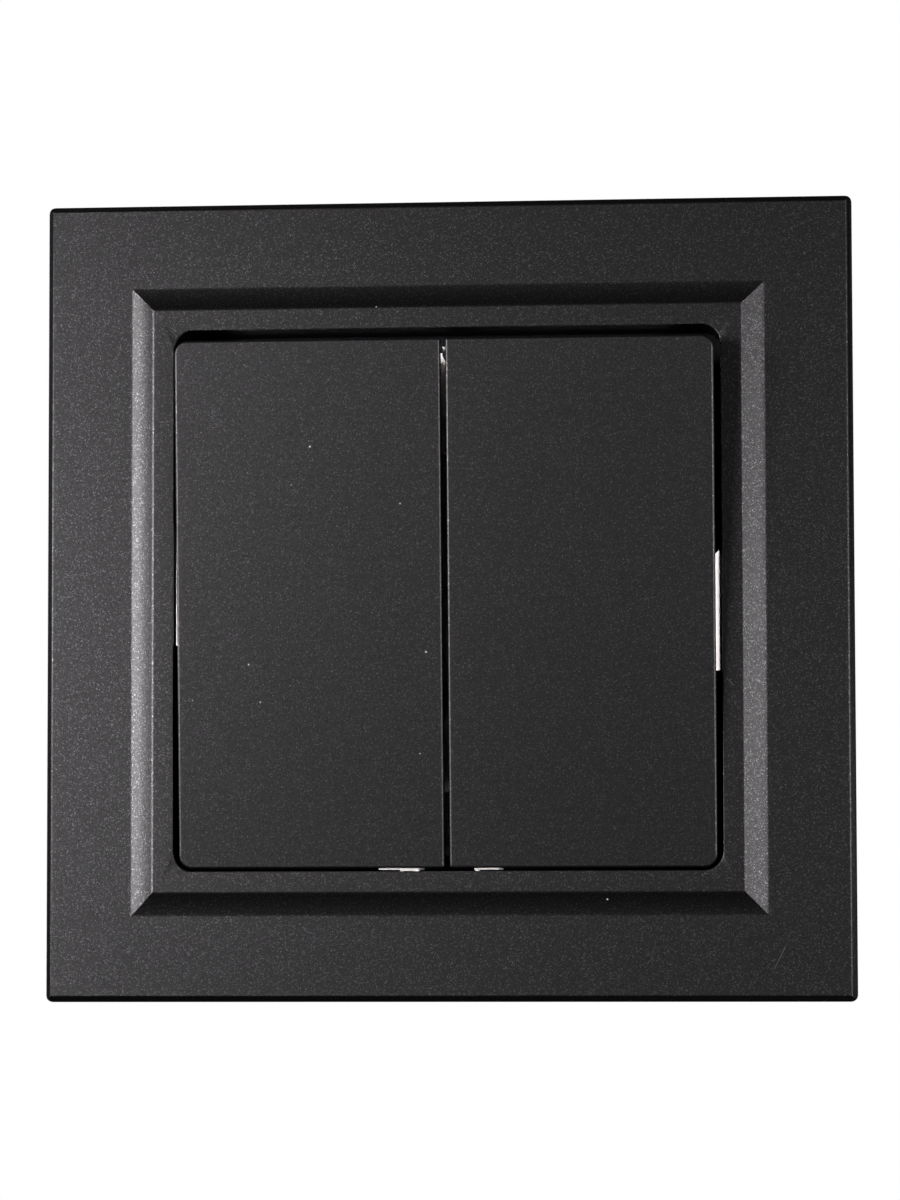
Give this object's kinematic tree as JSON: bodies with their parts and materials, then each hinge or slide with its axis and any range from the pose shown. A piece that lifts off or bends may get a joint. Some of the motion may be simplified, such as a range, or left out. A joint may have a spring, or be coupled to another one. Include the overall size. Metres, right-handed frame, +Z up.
{
  "type": "two-gang rocker wall switch",
  "caption": "Flush rocker wall switch: dark square cover frame with a raised inner rim and side-by-side rockers over a ring-mounted switching mechanism.",
  "frame": {"origin": "centre of the switch on the wall's surface", "axes": "+Z up, -Y out of the wall towards the room, +X to the right as seen from the room"},
  "size_m": [0.0816, 0.0362, 0.0808],
  "materials": {
    "frame_lacquer": "satin",
    "cap_lacquer": "satin",
    "white_plastic": "satin",
    "grey_plastic": "matte",
    "zinc_steel": "satin",
    "black_steel": "satin",
    "spring_steel": "satin",
    "brass": "satin",
    "copper_alloy": "satin",
    "silver_contact": "satin"
  },
  "bodies": {
    "base": {"cover_frame": "frame_lacquer", "carrier": "white_plastic", "carrier_screws": "zinc_steel", "support_ring": "black_steel", "housing": "grey_plastic", "common_bar": "brass", "output_left": "brass", "output_right": "brass", "fixed_rivets": "silver_contact", "terminal_blocks": "brass", "terminal_screws": "zinc_steel", "claw_pins": "zinc_steel"},
    "rocker_left": {"rocker_left": "cap_lacquer", "toggle_left": "white_plastic", "spring_left": "spring_steel"},
    "plunger_left": {"plunger_left": "brass"},
    "arm_left": {"arm_left": "copper_alloy", "arm_rivet_left": "silver_contact"},
    "claw_left": {"claw_left": "zinc_steel"},
    "claw_screw_left": {"claw_screw_left": "black_steel"},
    "claw_nut_left": {"claw_nut_left": "zinc_steel"},
    "rocker_right": {"rocker_right": "cap_lacquer", "toggle_right": "white_plastic", "spring_right": "spring_steel"},
    "plunger_right": {"plunger_right": "brass"},
    "arm_right": {"arm_right": "copper_alloy", "arm_rivet_right": "silver_contact"},
    "claw_right": {"claw_right": "zinc_steel"},
    "claw_screw_right": {"claw_screw_right": "black_steel"},
    "claw_nut_right": {"claw_nut_right": "zinc_steel"}
  },
  "joints": [
    {"name": "rocker_left_pivot", "type": "hinge", "parent": "base", "child": "rocker_left", "pos_m": [-0.01365, -0.0039, 0], "axis": [-1, 0, 0], "range_deg": [0, 9]},
    {"name": "plunger_left_slide", "type": "slide", "parent": "rocker_left", "child": "plunger_left", "axis": [0, -0.9969, -0.0785], "range_m": [0, 0.0008], "stiffness_N_per_m": 500, "springref_m": -0.002, "deforming": ["spring_left"]},
    {"name": "arm_left_rock", "type": "hinge", "parent": "base", "child": "arm_left", "pos_m": [-0.01365, 0.0108, 0], "axis": [1, 0, 0], "range_deg": [0, 12]},
    {"name": "claw_screw_left_turn", "type": "hinge", "parent": "base", "child": "claw_screw_left", "pos_m": [-0.0251, 0, -0.008], "axis": [0, 1, 0], "range_deg": [0, 660]},
    {"name": "claw_nut_left_travel", "type": "slide", "parent": "base", "child": "claw_nut_left", "axis": [0, -1, 0], "range_m": [0, 0.0011]},
    {"name": "claw_left_swing", "type": "hinge", "parent": "base", "child": "claw_left", "pos_m": [-0.0216, 0.0044, -0.008], "axis": [0, 0, 1], "range_deg": [0, 30]},
    {"name": "rocker_right_pivot", "type": "hinge", "parent": "base", "child": "rocker_right", "pos_m": [0.01365, -0.0039, 0], "axis": [-1, 0, 0], "range_deg": [0, 9]},
    {"name": "plunger_right_slide", "type": "slide", "parent": "rocker_right", "child": "plunger_right", "axis": [0, -0.9969, -0.0785], "range_m": [0, 0.0008], "stiffness_N_per_m": 500, "springref_m": -0.002, "deforming": ["spring_right"]},
    {"name": "arm_right_rock", "type": "hinge", "parent": "base", "child": "arm_right", "pos_m": [0.01365, 0.0108, 0], "axis": [1, 0, 0], "range_deg": [0, 12]},
    {"name": "claw_screw_right_turn", "type": "hinge", "parent": "base", "child": "claw_screw_right", "pos_m": [0.0251, 0, 0.008], "axis": [0, 1, 0], "range_deg": [0, 660]},
    {"name": "claw_nut_right_travel", "type": "slide", "parent": "base", "child": "claw_nut_right", "axis": [0, -1, 0], "range_m": [0, 0.0011]},
    {"name": "claw_right_swing", "type": "hinge", "parent": "base", "child": "claw_right", "pos_m": [0.0216, 0.0044, 0.008], "axis": [0, 0, -1], "range_deg": [0, 30]}
  ],
  "couplings": [
    {"joint": "arm_left_rock", "follows": "rocker_left_pivot", "ratio": 1.3333},
    {"joint": "claw_screw_left_turn", "follows": "claw_nut_left_travel", "rad_per_m": 10472},
    {"joint": "claw_left_swing", "follows": "claw_nut_left_travel", "rad_per_m": 475.95},
    {"joint": "arm_right_rock", "follows": "rocker_right_pivot", "ratio": 1.3333},
    {"joint": "claw_screw_right_turn", "follows": "claw_nut_right_travel", "rad_per_m": 10472},
    {"joint": "claw_right_swing", "follows": "claw_nut_right_travel", "rad_per_m": 475.95}
  ]
}
